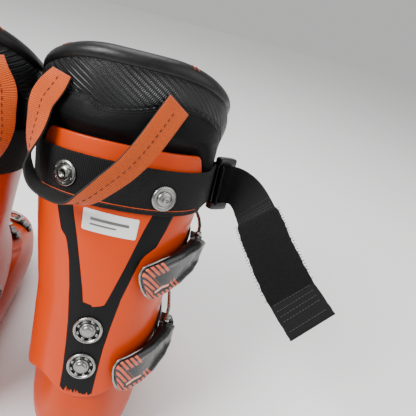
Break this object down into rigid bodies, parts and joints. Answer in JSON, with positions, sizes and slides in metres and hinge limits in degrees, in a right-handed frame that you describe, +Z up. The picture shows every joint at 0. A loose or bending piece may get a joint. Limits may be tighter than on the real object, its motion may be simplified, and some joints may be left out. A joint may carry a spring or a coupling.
{
  "type": "pair of alpine ski boots",
  "caption": "Pair of hard-shell alpine ski boots: hinged cuff over a lower shell, soft liner, lever buckles with wire bails, wide strap with ring, rear pull loop.",
  "frame": {"origin": "on the floor, midway between the two boots and midway along their soles", "axes": "+Z up, -Y towards the toes, +X towards the left boot; the right boot stands at -X"},
  "size_m": [0.4778, 0.3154, 0.3467],
  "materials": {
    "shell_plastic": "glossy orange polyurethane shell",
    "cuff_plastic": "glossy orange polyurethane cuff",
    "board_foam": "dense dull black foam",
    "sole_rubber": "dull black",
    "liner_leather": "black synthetic leather over foam",
    "steel": "bright steel",
    "strap_webbing": "black woven nylon webbing",
    "ring_plastic": "black moulded plastic",
    "loop_webbing": "orange and black woven webbing",
    "black_metal": "black coated aluminium",
    "lever_metal": "glossy black coated aluminium"
  },
  "bodies": {
    "right_shell_body": {"right_lower_shell": "shell_plastic", "right_bootboard": "board_foam", "right_toe_sole": "sole_rubber", "right_heel_sole": "sole_rubber", "right_liner": "liner_leather", "right_liner_tongue": "liner_leather", "right_ankle_pivot_lateral": "steel", "right_ankle_pivot_medial": "steel", "right_buckle_base_1": "steel", "right_buckle_base_2": "steel", "right_buckle_catch_1": "steel", "right_buckle_catch_2": "steel"},
    "right_cuff_body": {"right_cuff": "cuff_plastic", "right_spine_bolt_upper": "steel", "right_spine_bolt_lower": "steel", "right_power_strap": "strap_webbing", "right_strap_ring": "ring_plastic", "right_rear_pull_loop": "loop_webbing", "right_buckle_base_3": "black_metal", "right_buckle_base_4": "black_metal", "right_buckle_catch_3": "steel", "right_buckle_catch_4": "steel"},
    "right_lever_1_body": {"right_buckle_lever_1": "lever_metal"},
    "right_bail_1_body": {"right_buckle_bail_1": "steel"},
    "right_lever_2_body": {"right_buckle_lever_2": "lever_metal"},
    "right_bail_2_body": {"right_buckle_bail_2": "steel"},
    "right_lever_3_body": {"right_buckle_lever_3": "lever_metal"},
    "right_bail_3_body": {"right_buckle_bail_3": "steel"},
    "right_lever_4_body": {"right_buckle_lever_4": "lever_metal"},
    "right_bail_4_body": {"right_buckle_bail_4": "steel"},
    "left_shell_body": {"left_lower_shell": "shell_plastic", "left_bootboard": "board_foam", "left_toe_sole": "sole_rubber", "left_heel_sole": "sole_rubber", "left_liner": "liner_leather", "left_liner_tongue": "liner_leather", "left_ankle_pivot_lateral": "steel", "left_ankle_pivot_medial": "steel", "left_buckle_base_1": "steel", "left_buckle_base_2": "steel", "left_buckle_catch_1": "steel", "left_buckle_catch_2": "steel"},
    "left_cuff_body": {"left_cuff": "cuff_plastic", "left_spine_bolt_upper": "steel", "left_spine_bolt_lower": "steel", "left_power_strap": "strap_webbing", "left_strap_ring": "ring_plastic", "left_rear_pull_loop": "loop_webbing", "left_buckle_base_3": "black_metal", "left_buckle_base_4": "black_metal", "left_buckle_catch_3": "steel", "left_buckle_catch_4": "steel"},
    "left_lever_1_body": {"left_buckle_lever_1": "lever_metal"},
    "left_bail_1_body": {"left_buckle_bail_1": "steel"},
    "left_lever_2_body": {"left_buckle_lever_2": "lever_metal"},
    "left_bail_2_body": {"left_buckle_bail_2": "steel"},
    "left_lever_3_body": {"left_buckle_lever_3": "lever_metal"},
    "left_bail_3_body": {"left_buckle_bail_3": "steel"},
    "left_lever_4_body": {"left_buckle_lever_4": "lever_metal"},
    "left_bail_4_body": {"left_buckle_bail_4": "steel"}
  },
  "joints": [
    {"name": "right_cuff_flex", "type": "hinge", "parent": "right_shell_body", "child": "right_cuff_body", "pos_m": [-0.074, 0.05527, 0.095], "axis": [1, 0, 0], "range_deg": [0, 4], "stiffness_Nm_per_rad": 120, "deforming": ["right_liner", "right_liner_tongue"]},
    {"name": "right_lever_1", "type": "hinge", "parent": "right_shell_body", "child": "right_lever_1_body", "pos_m": [-0.12056, -0.10007, 0.07241], "axis": [-0.0703, 0.9492, 0.3068], "range_deg": [0, 140]},
    {"name": "right_bail_1", "type": "hinge", "parent": "right_lever_1_body", "child": "right_bail_1_body", "pos_m": [-0.12726, -0.09637, 0.05632], "axis": [-0.0703, 0.9492, 0.3068], "range_deg": [-175, 0]},
    {"name": "right_lever_2", "type": "hinge", "parent": "right_shell_body", "child": "right_lever_2_body", "pos_m": [-0.12848, -0.04828, 0.07711], "axis": [0.075, 0.9077, 0.4128], "range_deg": [0, 140]},
    {"name": "right_bail_2", "type": "hinge", "parent": "right_lever_2_body", "child": "right_bail_2_body", "pos_m": [-0.13072, -0.04175, 0.06347], "axis": [0.075, 0.9077, 0.4128], "range_deg": [-175, 0]},
    {"name": "right_lever_3", "type": "hinge", "parent": "right_cuff_body", "child": "right_lever_3_body", "pos_m": [-0.13641, 0.07961, 0.11815], "axis": [-0.0035, 0.0196, 0.9998], "range_deg": [0, 140]},
    {"name": "right_bail_3", "type": "hinge", "parent": "right_lever_3_body", "child": "right_bail_3_body", "pos_m": [-0.13301, 0.09431, 0.11794], "axis": [-0.0035, 0.0196, 0.9998], "range_deg": [-175, 0]},
    {"name": "right_lever_4", "type": "hinge", "parent": "right_cuff_body", "child": "right_lever_4_body", "pos_m": [-0.1445, 0.06021, 0.19672], "axis": [-0.1245, -0.0645, 0.9901], "range_deg": [0, 130]},
    {"name": "right_bail_4", "type": "hinge", "parent": "right_lever_4_body", "child": "right_bail_4_body", "pos_m": [-0.14083, 0.07518, 0.19776], "axis": [-0.1245, -0.0645, 0.9901], "range_deg": [-162.5, 0]},
    {"name": "left_boot_slide", "type": "slide", "parent": "right_shell_body", "child": "left_shell_body", "axis": [1, 0, 0], "range_m": [0, 0.15]},
    {"name": "left_cuff_flex", "type": "hinge", "parent": "left_shell_body", "child": "left_cuff_body", "pos_m": [0.074, 0.05527, 0.095], "axis": [1, 0, 0], "range_deg": [0, 4], "stiffness_Nm_per_rad": 120, "deforming": ["left_liner", "left_liner_tongue"]},
    {"name": "left_lever_1", "type": "hinge", "parent": "left_shell_body", "child": "left_lever_1_body", "pos_m": [0.12056, -0.10007, 0.07241], "axis": [-0.0703, -0.9492, -0.3068], "range_deg": [0, 140]},
    {"name": "left_bail_1", "type": "hinge", "parent": "left_lever_1_body", "child": "left_bail_1_body", "pos_m": [0.12726, -0.09637, 0.05632], "axis": [-0.0703, -0.9492, -0.3068], "range_deg": [-175, 0]},
    {"name": "left_lever_2", "type": "hinge", "parent": "left_shell_body", "child": "left_lever_2_body", "pos_m": [0.12848, -0.04828, 0.07711], "axis": [0.075, -0.9077, -0.4128], "range_deg": [0, 140]},
    {"name": "left_bail_2", "type": "hinge", "parent": "left_lever_2_body", "child": "left_bail_2_body", "pos_m": [0.13072, -0.04175, 0.06347], "axis": [0.075, -0.9077, -0.4128], "range_deg": [-175, 0]},
    {"name": "left_lever_3", "type": "hinge", "parent": "left_cuff_body", "child": "left_lever_3_body", "pos_m": [0.13641, 0.07961, 0.11815], "axis": [-0.0035, -0.0196, -0.9998], "range_deg": [0, 140]},
    {"name": "left_bail_3", "type": "hinge", "parent": "left_lever_3_body", "child": "left_bail_3_body", "pos_m": [0.13301, 0.09431, 0.11794], "axis": [-0.0035, -0.0196, -0.9998], "range_deg": [-175, 0]},
    {"name": "left_lever_4", "type": "hinge", "parent": "left_cuff_body", "child": "left_lever_4_body", "pos_m": [0.1445, 0.06021, 0.19672], "axis": [-0.1245, 0.0645, -0.9901], "range_deg": [0, 130]},
    {"name": "left_bail_4", "type": "hinge", "parent": "left_lever_4_body", "child": "left_bail_4_body", "pos_m": [0.14083, 0.07518, 0.19776], "axis": [-0.1245, 0.0645, -0.9901], "range_deg": [-162.5, 0]}
  ],
  "couplings": [
    {"joint": "right_bail_1", "follows": "right_lever_1", "ratio": -1.25},
    {"joint": "right_bail_2", "follows": "right_lever_2", "ratio": -1.25},
    {"joint": "right_bail_3", "follows": "right_lever_3", "ratio": -1.25},
    {"joint": "right_bail_4", "follows": "right_lever_4", "ratio": -1.25},
    {"joint": "left_bail_1", "follows": "left_lever_1", "ratio": -1.25},
    {"joint": "left_bail_2", "follows": "left_lever_2", "ratio": -1.25},
    {"joint": "left_bail_3", "follows": "left_lever_3", "ratio": -1.25},
    {"joint": "left_bail_4", "follows": "left_lever_4", "ratio": -1.25}
  ]
}
